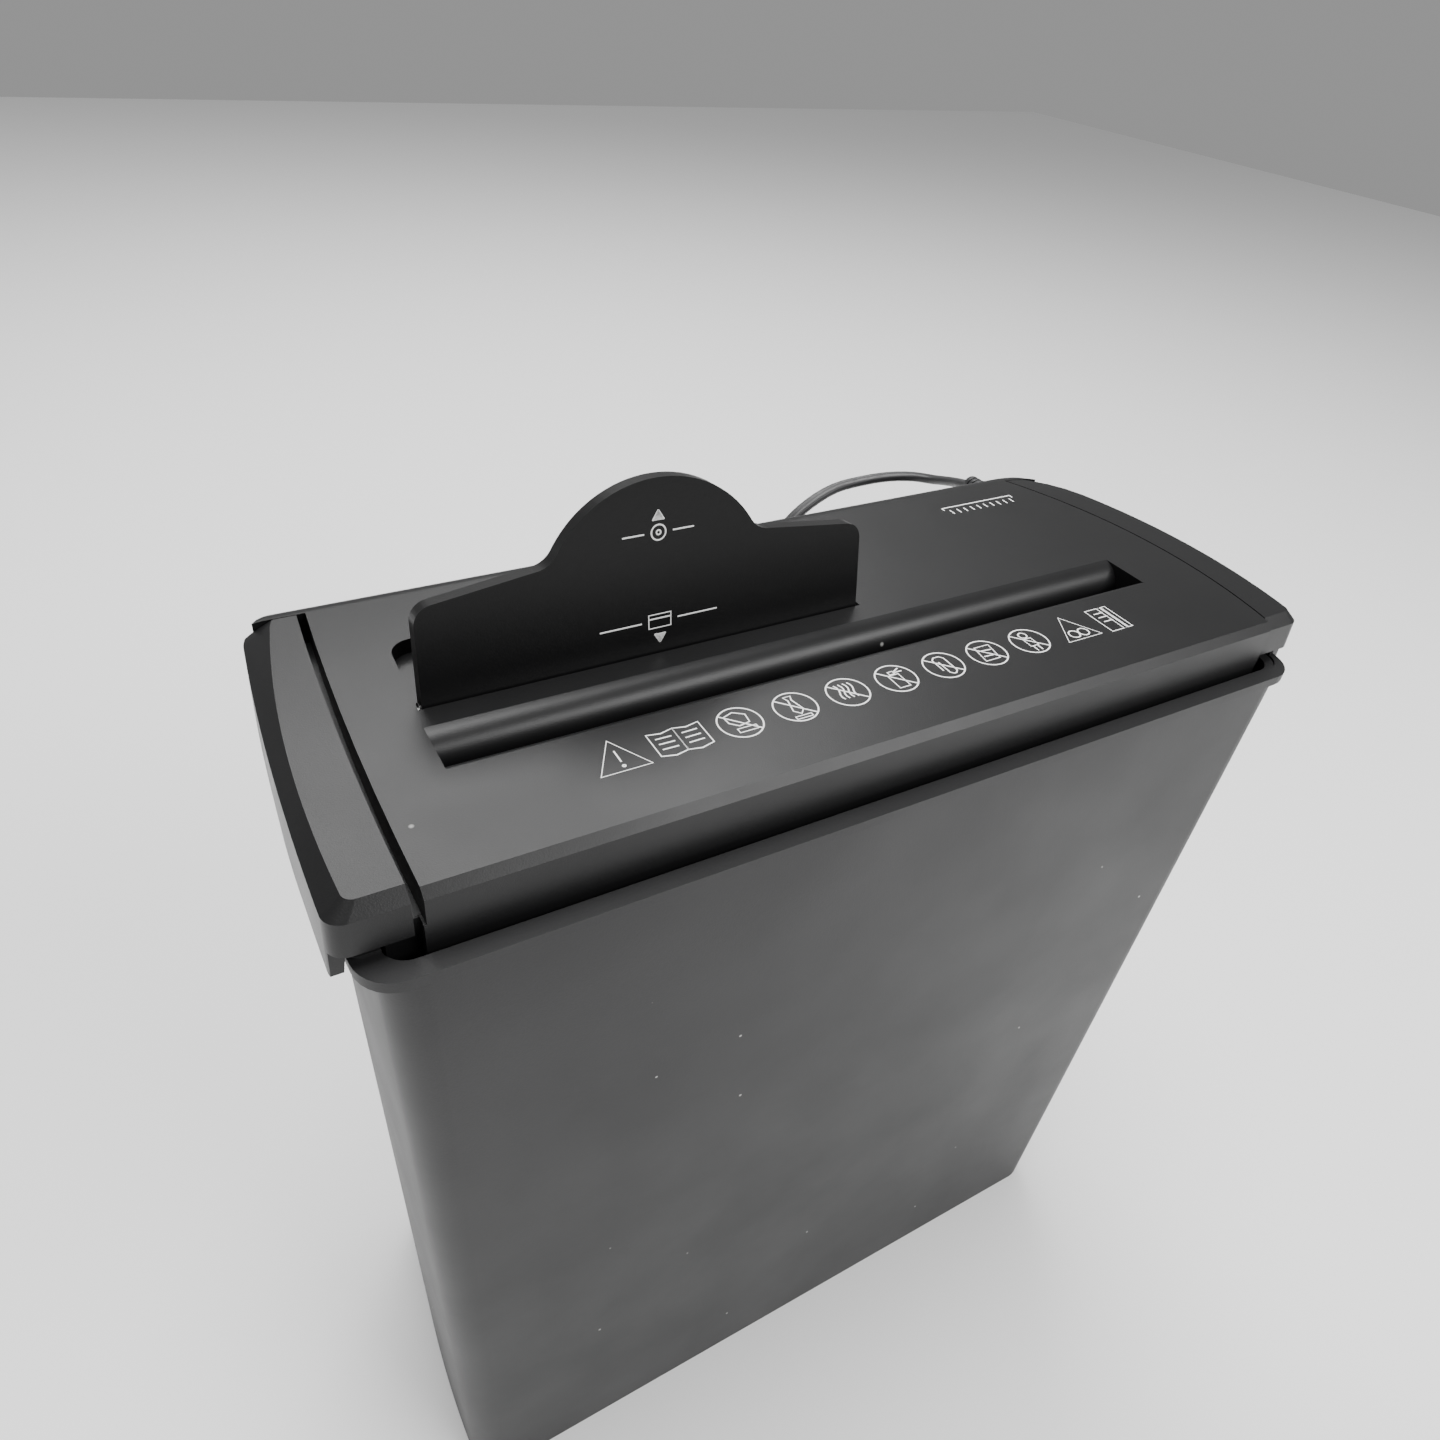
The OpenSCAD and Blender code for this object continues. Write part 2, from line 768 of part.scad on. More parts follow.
module rear_stripper_comb() {
    stripper_comb(rear_y, 1, front_discs - 1);
}

module motor_can() {
    color([0.62, 0.62, 0.64]) difference() {
        rod_x(motor_at, motor_r, motor_x[0], motor_x[1]);
        rod_x(motor_at, motor_r - 1.2, motor_x[0] - 1, motor_x[1] - 1.4);
        rod_x(motor_at, 1.65, motor_x[1] - 2, motor_x[1] + 1);
    }
    color([0.62, 0.62, 0.64]) difference() {
        rod_x(motor_at, 4.9, motor_x[1], plate_right + plate_t);
        rod_x(motor_at, 1.65, motor_x[1] - 1, plate_right + 4);
    }
}

module motor_end_bell() {
    color([0.15, 0.15, 0.15]) difference() {
        union() {
            rod_x(motor_at, motor_r - 1.2, motor_x[0], motor_x[0] + 3);
            rod_x(motor_at, 5, motor_x[0] - 3, motor_x[0]);
            for (s = [-1, 1]) {
                translate([motor_x[0] - 6, motor_at[0] + s * 9 - 1.5, motor_at[1] - 0.3])
                    cube([6.5, 3, 0.6]);
            }
        }
        rod_x(motor_at, 1.65, motor_x[0] - 2, motor_x[0] + 4);
    }
}

module motor_magnets() {
    color([0.2, 0.2, 0.21]) difference() {
        rod_x(motor_at, motor_r - 1.2, motor_x[0] + 8, motor_x[1] - 8);
        rod_x(motor_at, 12.6, motor_x[0] + 7, motor_x[1] - 7);
        translate([motor_x[0] + 7, motor_at[0] - 20, motor_at[1] - 3]) cube([60, 40, 6]);
    }
}

module motor_rotor() {
    color([0.55, 0.35, 0.2]) difference() {
        union() {
            rod_x(motor_at, 12, motor_x[0] + 12, motor_x[1] - 12);
            rod_x(motor_at, 5, motor_x[0] + 5, motor_x[0] + 12);
        }
        rod_x(motor_at, 1.6, motor_x[0], motor_x[1]);
        for (a = [0 : 72 : 359]) {
            translate([0, motor_at[0], motor_at[1]]) rotate([a, 0, 0])
                translate([motor_x[0] + 11, -0.9, 9]) cube([60, 1.8, 4]);
        }
    }
}

module motor_shaft() {
    color("silver") rod_x(motor_at, 1.6, motor_x[0] - 2, layer_1 + gear_w[0]);
}

module motor_pinion() {
    color([0.8, 0.62, 0.3]) gear(mod_pinion, teeth_pinion, motor_at, layer_1, gear_w[0],
        angle_to(first_at, motor_at) + 180 + 180 / teeth_pinion, 1.6);
}

module circuit_board() {
    color([0.1, 0.3, 0.15]) difference() {
        translate([-100, 22, top_z - 27]) cube([110, 28, 1.6]);
        for (p = board_at) {
            translate([p[0], p[1], top_z - 28]) cylinder(r = 1.6, h = 4);
        }
    }
}

module board_components() {
    z = top_z - 25.4;
    color([0.2, 0.2, 0.22]) {
        translate([-92, 26, z]) cube([19, 15, 14]);
        translate([-66, 28, z]) cube([14, 5, 12]);
        translate([-46, 30, z]) cylinder(r = 5, h = 14);
        translate([-33, 30, z]) cylinder(r = 4, h = 12);
        translate([-22, 27, z]) cube([10, 8, 9]);
        translate([-6, 26, z]) cube([10, 12, 8]);
        translate([-60, 42, z]) cylinder(r = 4.5, h = 4);
    }
}

module thermal_cutout() {
    color([0.75, 0.72, 0.6])
        translate([60, motor_at[0] - 4, motor_at[1] + motor_r + 0.2]) cube([14, 8, 3.6]);
}

module paper_switch() {
    color([0.12, 0.12, 0.13]) difference() {
        translate([slot_x + 6, -38.5, top_z - 24.4]) cube([6.4, 14.5, 10]);
        for (y = [-35.5, -27.5]) {
            rod_x([y, top_z - 19.5], 1.2, slot_x, slot_x + 20);
        }
    }
}

// Lever whose tip stands in the paper path; it turns on its own stub pins.
module paper_lever() {
    color([0.85, 0.85, 0.82]) {
        rod_x(lever_at, 1.3, slot_x - 5.4, slot_x + 5.4);
        difference() {
            bar(slot_x - 1.5, slot_x + 1.5)
                polygon([[-30, -18.4], [-26, -17.6], [-14.6, -17.6], [-14.6, -19.4], [-27, -22.4],
                         [-30, -21.8]]);
            rod_x(lever_at, 1.3, slot_x - 5, slot_x + 5);
        }
    }
}

module interlock_switch() {
    color([0.12, 0.12, 0.13]) translate([-143.6, 3.6, top_z - 7.2]) cube([4.8, 12.8, 4.8]);
}

module interlock_plunger() {
    color([0.85, 0.85, 0.82]) translate([-141.2, 10, top_z - 14.9]) cylinder(r = 1.5, h = 5.9);
}

module mode_switch() {
    color([0.12, 0.12, 0.13]) difference() {
        translate([77, 46.5, top_z - 12.6]) cube([18, 8.2, 9.4]);
        translate([81, 51, top_z - 10.6]) cube([10, 5, 4]);
    }
}

module mode_switch_knob() {
    color([0.1, 0.1, 0.1]) {
        translate([85, 51.4, top_z - 10.2]) cube([2, 4, 3.2]);
        translate([83, 55, top_z - 11.2]) cube([6, 4, 5.2]);
    }
}

// Bore for the strain relief, square to the rounded rear corner of the head.
module gland_hole() {
    translate(gland_at) rotate(gland_turn) rotate([90, 0, 0]) translate([0, 0, -3])
        cylinder(r = 3.6, h = 15);
}

// Moulded strain relief: a plug in the corner wall, a collar, and a taper that dips.
module cord_gland() {
    color([0.05, 0.05, 0.05]) translate(gland_at) rotate(gland_turn) {
        rotate([90, 0, 0]) translate([0, 0, -0.5]) cylinder(r = 3.55, h = 7.5);
        rotate([-90, 0, 0]) cylinder(r = 4.5, h = 2);
        rotate([-90 - gland_dip, 0, 0]) cylinder(r1 = 4.2, r2 = 3.1, h = 24);
    }
}

module cord_anchor() {
    color([0.12, 0.12, 0.13]) translate([98, 44.6, top_z - 12.6]) cube([9, 8, 12.6 - cover_t]);
}

// Ring of the flat lead about one point of its route.
function cord_ring(p, d) =
    let (side = norm([d[0], d[1]]) > 0.2 ? [-d[1], d[0], 0] / norm([d[0], d[1]]) : [1, 0, 0],
         up = cross(d, side) * -1)
    [for (a = [0 : 45 : 359]) p + side * cord_w / 2 * cos(a) + up * cord_t / 2 * sin(a)];
function unit(v) = v / norm(v);
function curve_at(a, b, c, d, t) =
    0.5 * (2 * b + (c - a) * t + (2 * a - 5 * b + 4 * c - d) * t * t
           + (3 * b - a - 3 * c + d) * t * t * t);

module mains_cord() {
    last = len(cord_route) - 1;
    path = [for (i = [0 : last - 1], t = [0, 0.5])
                curve_at(cord_route[max(i - 1, 0)], cord_route[i], cord_route[i + 1],
                         cord_route[min(i + 2, last)], t), cord_route[last]];
    n = len(path);
    rings = [for (i = [0 : n - 1])
                cord_ring(path[i], unit(path[min(i + 1, n - 1)] - path[max(i - 1, 0)]))];
    points = [for (ring = rings) each ring];
    sides = [for (i = [0 : n - 2], k = [0 : 7])
                [8 * i + k, 8 * i + (k + 1) % 8, 8 * (i + 1) + (k + 1) % 8, 8 * (i + 1) + k]];
    color([0.05, 0.05, 0.05]) translate([coil_at[0] + 12, tail_y - cord_w / 2, 2])
        cube([23, cord_w, cord_t]);
    color([0.05, 0.05, 0.05]) polyhedron(points,
        concat([[7, 6, 5, 4, 3, 2, 1, 0]], sides, [[for (k = [0 : 7]) 8 * (n - 1) + k]]));
}

module cord_coil() {
    color([0.05, 0.05, 0.05]) translate([coil_at[0], coil_at[1], 0]) rotate_extrude($fn = 72)
        translate([coil_r[0], 0]) square([coil_r[1] - coil_r[0], coil_h]);
}

// Flat two-pin plug beside the coil, on the end that leaves the outer turn.
module plug_body() {
    color([0.05, 0.05, 0.05]) translate([coil_at[0], tail_y, 0]) {
        translate([34, -4, 0]) cube([8, 8, 7.4]);
        hull() {
            translate([41.9, -6, 0]) cube([4, 12, 9]);
            translate([56, -16, 0]) cube([16, 32, 13]);
        }
    }
}

module plug_pins() {
    color([0.8, 0.8, 0.8]) for (y = [-9.5, 9.5]) {
        translate([coil_at[0] + 72, tail_y + y, 6.5]) rotate([0, 90, 0]) cylinder(r = 2, h = 19);
    }
}

// Waste bin: tapered shell, stiff rim, raised rests for the head, foot ring.
module bin() {
    color([0.1, 0.1, 0.105]) difference() {
        union() {
            translate([bin_shift, 0, 0]) hull() {
                translate([0, 0, rim_z - 1]) linear_extrude(1) plan(5.4, 61, 61, 10, 9, 24);
                linear_extrude(1) plan(5.4 + bin_draft, 61 - bin_draft * 0.7, 61 - bin_draft * 0.7,
                                       10, 9, 24);
            }
            translate([0, 0, rim_z - rim_t]) linear_extrude(rim_t)
                plan(rim_out[0], rim_out[1], rim_out[1], 10, 11, 14);
            translate([0, 0, rim_z - 1]) linear_extrude(1 + 0.8) difference() {
                plan(rim_out[0] + 0.6, 54, 54, 2, 2, 2);
                plan(rim_in[0] + 0.4, 80, 80, 2, 2, 2);
            }
        }
        translate([bin_shift, 0, 2.5]) hull() {
            translate([0, 0, rim_z - 1]) linear_extrude(1) plan(7.4, 59, 59, 6, 7, 22);
            linear_extrude(1) plan(7.4 + bin_draft, 59 - bin_draft * 0.7, 59 - bin_draft * 0.7, 6, 7, 22);
        }
        translate([0, 0, -1]) linear_extrude(2.2) plan(24, 46, 46, 6, 8, 10);
    }
    color([0.1, 0.1, 0.105]) difference() {
        translate([0, 0, rim_z - rim_t]) linear_extrude(rim_t) plan(6, 60, 60, 8, 9, 12);
        translate([0, 0, rim_z - rim_t - 1]) linear_extrude(rim_t + 3)
            plan(rim_in[0], rim_in[1], rim_in[1], 6, 7, 10);
    }
}

bin();
top_cover();
left_end_cap();
right_end_cap();
disc_flap();
flap_hinge_rod();
feed_guide();
lower_housing();
left_side_plate();
right_side_plate();
tie_rods();
frame_screws();
housing_screws();
cutter_bushes();
front_cutter_shaft();
front_cutter_discs();
front_spacers();
front_cutter_gear();
rear_cutter_shaft();
rear_cutter_discs();
rear_spacers();
rear_cutter_gear();
final_drive_gear();
front_stripper_comb();
rear_stripper_comb();
gear_axles();
first_gear();
second_gear();
retaining_rings();
motor_can();
motor_end_bell();
motor_magnets();
motor_rotor();
motor_shaft();
motor_pinion();
circuit_board();
board_components();
thermal_cutout();
paper_switch();
paper_lever();
interlock_switch();
interlock_plunger();
mode_switch();
mode_switch_knob();
cord_gland();
cord_anchor();
mains_cord();
cord_coil();
plug_body();
plug_pins();
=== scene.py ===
from math import cos, pi, radians, sin

import bmesh
import bpy
from mathutils import Matrix, Vector


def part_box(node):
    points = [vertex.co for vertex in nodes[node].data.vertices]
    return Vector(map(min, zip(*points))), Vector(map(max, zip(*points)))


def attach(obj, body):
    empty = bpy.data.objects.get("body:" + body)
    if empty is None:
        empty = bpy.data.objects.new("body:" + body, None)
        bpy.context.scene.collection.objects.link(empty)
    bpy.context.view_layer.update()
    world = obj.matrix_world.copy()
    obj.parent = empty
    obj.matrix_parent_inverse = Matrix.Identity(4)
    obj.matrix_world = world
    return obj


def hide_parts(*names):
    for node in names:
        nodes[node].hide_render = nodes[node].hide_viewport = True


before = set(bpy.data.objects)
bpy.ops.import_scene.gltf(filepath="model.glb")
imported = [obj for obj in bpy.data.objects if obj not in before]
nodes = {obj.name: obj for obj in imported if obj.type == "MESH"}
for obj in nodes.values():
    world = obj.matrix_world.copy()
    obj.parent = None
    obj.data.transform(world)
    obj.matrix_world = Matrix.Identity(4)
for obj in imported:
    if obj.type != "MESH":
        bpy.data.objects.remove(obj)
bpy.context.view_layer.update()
top_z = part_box("top_cover")[1].z

# --- Camera ---------------------------------------------------------------
# A phone-height look down along the head from its left front corner.
camera_data = bpy.data.cameras.new("camera")
camera = bpy.data.objects.new("camera", camera_data)
bpy.context.collection.objects.link(camera)
bpy.context.scene.camera = camera
camera_data.sensor_width = 36
camera_data.lens = 26.43
camera_data.clip_start = 0.01
heading, dip, roll = radians(-33.256), radians(37.148), radians(6.094)
ahead = Vector((-sin(heading) * cos(dip), cos(heading) * cos(dip), -sin(dip)))
level = Vector((cos(heading), sin(heading), 0))
above = level.cross(ahead)
across = level * cos(roll) + above * sin(roll)
upward = above * cos(roll) - level * sin(roll)
turn = Matrix((across, upward, -ahead)).transposed()
standpoint = Vector((-0.16214, -0.20319, top_z + 0.15531))
camera.matrix_world = Matrix.Translation(standpoint) @ turn.to_4x4()


# --- Mains lead, its coil and tie -----------------------------------------
# Flat two-core mains lead in black PVC, moulded onto the head's strain relief.
# Its spare length is wound into a coil held by a wire tie and ends in a plug.
def smooth_route(points, steps):
    line = []
    for i in range(len(points) - 1):
        a, b = points[max(i - 1, 0)], points[i]
        c, d = points[i + 1], points[min(i + 2, len(points) - 1)]
        for k in range(steps):
            t = k / steps
            line.append(0.5 * (2 * b + (c - a) * t + (2 * a - 5 * b + 4 * c - d) * t * t
                               + (3 * b - a - 3 * c + d) * t ** 3))
    return line + [points[-1]]


# The steps that every material below is put together from.
def material(name, colour, roughness, metallic=0.0):
    made = bpy.data.materials.new(name)
    made.use_nodes = True
    shader = made.node_tree.nodes["Principled BSDF"]
    shader.inputs["Base Color"].default_value = (*colour, 1)
    shader.inputs["Roughness"].default_value = roughness
    shader.inputs["Metallic"].default_value = metallic
    return made


def node(made, kind, links=None, **values):
    new = made.node_tree.nodes.new(kind)
    for key, value in values.items():
        name = key.replace("_", " ").title() if key not in new.bl_rna.properties else None
        if name:
            new.inputs[name].default_value = value
        else:
            setattr(new, key, value)
    for key, source in (links or {}).items():
        made.node_tree.links.new(source, new.inputs[key])
    return new


def own_place(made, scale=(1, 1, 1)):
    where = node(made, "ShaderNodeTexCoord")
    return node(made, "ShaderNodeMapping", {"Vector": where.outputs["Object"]}, Scale=scale)


def noise(made, place, scale, detail=3.0, roughness=0.5):
    return node(made, "ShaderNodeTexNoise", {"Vector": place.outputs["Vector"]},
                scale=scale, detail=detail, roughness=roughness).outputs["Fac"]


def remap(made, value, low, high, to_low, to_high):
    spread = node(made, "ShaderNodeMapRange", {"Value": value})
    for key, number in (("From Min", low), ("From Max", high), ("To Min", to_low), ("To Max", to_high)):
        spread.inputs[key].default_value = number
    return spread.outputs["Result"]


def mix_colours(made, value, first, second):
    blend = made.node_tree.nodes.new("ShaderNodeMix")
    blend.data_type = "RGBA"
    made.node_tree.links.new(value, blend.inputs[0])
    blend.inputs[6].default_value = (*first, 1)
    blend.inputs[7].default_value = (*second, 1)
    return blend.outputs[2]


def feed(made, source, socket):
    made.node_tree.links.new(source, made.node_tree.nodes["Principled BSDF"].inputs[socket])


def relief(made, height, distance, strength=1.0, under=None):
    links = {"Height": height}
    if under:
        links["Normal"] = under
    bump = node(made, "ShaderNodeBump", links)
    bump.inputs["Distance"].default_value = distance
    bump.inputs["Strength"].default_value = strength
    return bump.outputs["Normal"]


# Makes a named piece of a mesh, with its material and its body.
def finish_mesh(name, bm, made, body, crease=40):
    mesh = bpy.data.meshes.new(name)
    bm.to_mesh(mesh)
    bm.free()
    for polygon in mesh.polygons:
        polygon.use_smooth = True
    mesh.set_sharp_from_angle(angle=radians(crease))
    piece = bpy.data.objects.new(name, mesh)
    bpy.context.collection.objects.link(piece)
    even = piece.modifiers.new("even_faces", "WEIGHTED_NORMAL")
    even.keep_sharp = True
    piece.data.materials.append(made)
    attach(piece, body)
    return piece


lead_black = material("black PVC lead sheath", (0.018, 0.018, 0.019), 0.42)
place = own_place(lead_black)
feed(lead_black, remap(lead_black, noise(lead_black, place, 240), 0.3, 0.7, 0.36, 0.5), "Roughness")
feed(lead_black, relief(lead_black, noise(lead_black, place, 1500), 0.00004, 0.5), "Normal")

route = [Vector(p) / 1000 for p in (
    (126.5, 76, 298), (128, 82, 296), (130, 89, 293.4), (131, 96, 290.8), (131, 103, 288.3),
    (128, 111, 286.5), (121, 118, 284.5), (111, 123, 282), (99, 126, 279), (87, 126, 274),
    (76.5, 125, 267), (67, 123, 257), (60, 120, 243), (56, 118, 226), (53, 115, 204),
    (50, 112, 178), (47, 109, 150), (44, 106, 122), (41, 103, 96), (38, 101, 72),
    (35.5, 100, 50), (34, 101, 32), (33.5, 105, 17), (33.8, 112, 7.5), (34, 120, 3), (34, 130, 1.8))]
coil_low, coil_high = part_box("cord_coil")
coil_middle = (coil_low + coil_high) / 2
line = smooth_route(route, 3)[:-1]
outer, inner, pitch = 0.0339, 0.0236, 0.0052
lower_layer, upper_layer = 0.0018, 0.0053
turn_steps, coil_turns = 28, 4.75
for k in range(int(coil_turns * turn_steps) + 1):
    turns = k / turn_steps
    if turns < 2:
        radius, height = outer - pitch * turns, lower_layer
    elif turns < 2.5:
        climb = 0.5 - 0.5 * cos((turns - 2) * 2 * pi)
        radius, height = inner, lower_layer + (upper_layer - lower_layer) * climb
    else:
        radius, height = min(inner + pitch * (turns - 2.5), outer), upper_layer
    angle = turns * 2 * pi
    line.append(Vector((coil_middle.x + radius * cos(angle), coil_middle.y + radius * sin(angle), height)))
end = line[-1]
for step, drop in ((0.006, 0.0), (0.013, 0.0004), (0.020, 0.0012), (0.028, 0.0017), (0.036, 0.0018)):
    line.append(end + Vector((step, 0, -drop)))

# The sheath's section: two cores side by side with a shallow groove.
section = bpy.data.curves.new("lead_section", "CURVE")
section.dimensions = "2D"
half_wide, half_thick = 0.0026, 0.0017
loop = section.splines.new("POLY")
section_points = 28
loop.points.add(section_points - 1)
for k, point in enumerate(loop.points):
    angle = 2 * pi * k / section_points
    waist = 1 - 0.16 * max(0.0, 1 - abs(cos(angle)) / 0.3)
    fuller = abs(sin(2 * angle))
    point.co = (half_wide * cos(angle) * (1 + 0.06 * fuller),
                half_thick * sin(angle) * waist * (1 + 0.12 * fuller), 0, 1)
loop.use_cyclic_u = True
section_object = bpy.data.objects.new("lead_section", section)
bpy.context.collection.objects.link(section_object)

lead_curve = bpy.data.curves.new("mains_lead", "CURVE")
lead_curve.dimensions = "3D"
lead_curve.twist_mode = "Z_UP"
lead_curve.bevel_mode = "OBJECT"
lead_curve.bevel_object = section_object
lead_curve.use_fill_caps = True
strand = lead_curve.splines.new("POLY")
strand.points.add(len(line) - 1)
for point, co in zip(strand.points, line):
    point.co = (*co, 1)
lead_source = bpy.data.objects.new("mains_lead_line", lead_curve)
bpy.context.collection.objects.link(lead_source)
bpy.context.view_layer.update()
swept = bpy.data.meshes.new_from_object(lead_source.evaluated_get(bpy.context.evaluated_depsgraph_get()))
bm = bmesh.new()
bm.from_mesh(swept)
bmesh.ops.remove_doubles(bm, verts=bm.verts, dist=1e-6)
bmesh.ops.recalc_face_normals(bm, faces=bm.faces)
mains_lead = finish_mesh("mains_lead", bm, lead_black, "head", 60)
for spare in (lead_source, section_object):
    bpy.data.objects.remove(spare)
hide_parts("mains_cord", "cord_coil")

# Wire tie: a thin flat strip, covered in paper, round the turns of the coil.
bm = bmesh.new()
tie_at = Vector((coil_middle.x - (outer + inner) / 2, coil_middle.y, 0.0043))
tie_reach, half_thick_mm, half_wide_mm = 0.0083, 0.35, 1.9
bmesh.ops.create_grid(bm, x_segments=1, y_segments=1, size=0.001)
for vert in bm.verts:
    vert.co = Vector((vert.co.x * half_thick_mm + tie_reach, vert.co.y * half_wide_mm, 0))
bmesh.ops.spin(bm, geom=bm.verts[:] + bm.edges[:] + bm.faces[:], axis=(0, 1, 0), cent=(0, 0, 0),
               angle=2 * pi, steps=40, use_merge=True, use_duplicate=False)
bmesh.ops.delete(bm, geom=[f for f in bm.faces if abs(f.normal.y) < 1e-3 and f.calc_area() < 1e-12],
                 context="FACES")
tie_half_tall, tie_squash = 0.0042, 0.62
for vert in bm.verts:
    vert.co.z = max(-tie_half_tall, min(tie_half_tall, vert.co.z * tie_squash))
    vert.co += tie_at
bmesh.ops.recalc_face_normals(bm, faces=bm.faces)
tie_white = material("paper-covered wire tie", (0.62, 0.6, 0.56), 0.7)
place = own_place(tie_white)
feed(tie_white, mix_colours(tie_white, noise(tie_white, place, 500), (0.55, 0.53, 0.5), (0.68, 0.66, 0.62)),
     "Base Color")
cord_tie = finish_mesh("cord_tie", bm, tie_white, "head")


# Moulded strain relief: collar at the head's corner, then a taper with ribs
# that lets the lead bend gently. Soft black PVC in one piece with the sheath.
def spun(profile, steps):
    bm = bmesh.new()
    ring = [bm.verts.new((radius, 0, along)) for radius, along in profile]
    for first, second in zip(ring, ring[1:]):
        bm.edges.new((first, second))
    bmesh.ops.spin(bm, geom=bm.verts[:] + bm.edges[:], axis=(0, 0, 1), cent=(0, 0, 0),
                   angle=2 * pi, steps=steps, use_merge=True)
    bmesh.ops.remove_doubles(bm, verts=bm.verts, dist=1e-6)
    bmesh.ops.recalc_face_normals(bm, faces=bm.faces)
    return bm


gland_base = Vector((0.1212, 0.0552, top_z - 0.0108))
outline = [(0, -0.0070), (0.0035, -0.0070), (0.0035, 0), (0.0042, 0), (0.0045, 0.0004), (0.0045, 0.0016),
           (0.0042, 0.0020), (0.0040, 0.0022)]
rib_count, rib_pitch, rib_deep = 7, 0.0028, 0.0008
for k in range(rib_count):
    start = 0.0030 + rib_pitch * k
    radius = 0.0041 - 0.0009 * k / (rib_count - 1)
    outline += [(radius - rib_deep, start), (radius - rib_deep, start + 0.0008),
                (radius - 0.0001, start + 0.0009), (radius, start + 0.0011),
                (radius, start + 0.0025), (radius - 0.0001, start + 0.0027)]
outline += [(0.0031, 0.0229), (0.0028, 0.0232), (0, 0.0232)]
bm = spun(outline, 40)
corner_turn, wall_turn, dip_turn, collar_top = radians(-15), radians(-90), radians(-97), 0.0021
out_of_wall = Matrix.Rotation(corner_turn, 4, "Z") @ Matrix.Rotation(wall_turn, 4, "X")
dipped = Matrix.Rotation(corner_turn, 4, "Z") @ Matrix.Rotation(dip_turn, 4, "X")
for vert in bm.verts:
    bend = dipped if vert.co.z > collar_top else out_of_wall
    vert.co = gland_base + bend @ vert.co
strain_relief = finish_mesh("strain_relief", bm, lead_black, "head", 35)
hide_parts("cord_gland")


# The skin of a moulding or a stamped part: the CAD solid that it replaces,
# with its outer edges rounded.
def moulded_shell(source, name, made, edge, body, sharp=32, steps=3, crease=30):
    bm = bmesh.new()
    bm.from_mesh(nodes[source].data)
    bmesh.ops.remove_doubles(bm, verts=bm.verts, dist=2e-6)
    bmesh.ops.dissolve_limit(bm, angle_limit=radians(0.4), verts=bm.verts, edges=bm.edges)
    keen = [e for e in bm.edges if len(e.link_faces) == 2 and e.calc_face_angle(0) > radians(sharp)
            and e.is_convex]
    bmesh.ops.bevel(bm, geom=keen, offset=edge, offset_type="OFFSET", segments=steps, profile=0.5,
                    affect="EDGES", material=-1, clamp_overlap=True)
    piece = finish_mesh(name, bm, made, body, crease)
    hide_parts(source)
    return piece


def block(bm, low, high):
    made = bmesh.ops.create_cube(bm, size=1)["verts"]
    middle, span = (Vector(low) + Vector(high)) / 2, Vector(high) - Vector(low)
    for vert in made:
        vert.co = middle + Vector([vert.co[i] * span[i] for i in range(3)])
    return made


# Worn, grained metal, and its use on CAD nodes that are shown as they are.
def metal(name, colour, rough, grain=900, stretch=(1, 1, 1), spangle=0.0):
    made = material(name, colour, rough, 1.0)
    spot = own_place(made, stretch)
    worn = noise(made, spot, grain, 4.0, 0.6)
    feed(made, remap(made, worn, 0.25, 0.75, rough - 0.08, rough + 0.12), "Roughness")
    feed(made, relief(made, worn, 0.00002, 0.4), "Normal")
    stain = noise(made, own_place(made), 60 + spangle, 3.0)
    duller, brighter = tuple(c * 0.82 for c in colour), tuple(min(1, c * 1.1) for c in colour)
    feed(made, mix_colours(made, stain, duller, brighter), "Base Color")
    return made


def dress(made, *names):
    for name in names:
        nodes[name].data.materials.clear()
        nodes[name].data.materials.append(made)


# Flat two-pin plug, overmoulded in the same PVC, with finger ribs on its upper
# face. The pins are nickel-plated brass.
plug_shell = moulded_shell("plug_body", "plug_shell", lead_black, 0.0012, "head", 25)
bm = bmesh.new()
plug_low, plug_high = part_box("plug_body")
plug_mid = (plug_low.y + plug_high.y) / 2
finger_ribs, finger_pitch, finger_wide, finger_reach = 5, 0.0024, 0.0011, 0.011
for k in range(finger_ribs):
    x = plug_high.x - 0.0135 + finger_pitch * k
    block(bm, (x, plug_mid - finger_reach, plug_high.z - 0.0006),
          (x + finger_wide, plug_mid + finger_reach, plug_high.z))
bmesh.ops.bevel(bm, geom=bm.edges[:], offset=0.0003, segments=2, profile=0.5, affect="EDGES", material=-1)
plug_ribs = finish_mesh("plug_ribs", bm, lead_black, "head")
pin_plated = metal("nickel-plated brass pin", (0.72, 0.66, 0.5), 0.24, 700, (0.1, 1, 1))
dress(pin_plated, "plug_pins")

# --- Studio ---------------------------------------------------------------
# Pale floor, a large soft light high behind the object, one straight above,
# and a small window at the front right that picks out the front chamfer.
bm = bmesh.new()
bmesh.ops.create_grid(bm, x_segments=1, y_segments=1, size=3)
mesh = bpy.data.meshes.new("floor")
bm.to_mesh(mesh)
bm.free()
floor = bpy.data.objects.new("floor", mesh)
bpy.context.collection.objects.link(floor)
floor.data.materials.append(material("matt white paper", (0.93, 0.93, 0.93), 0.9))
world = bpy.data.worlds.new("studio")
bpy.context.scene.world = world
world.use_nodes = True
world.node_tree.nodes["Background"].inputs["Color"].default_value = (1, 1, 1, 1)
world.node_tree.nodes["Background"].inputs["Strength"].default_value = 0.32


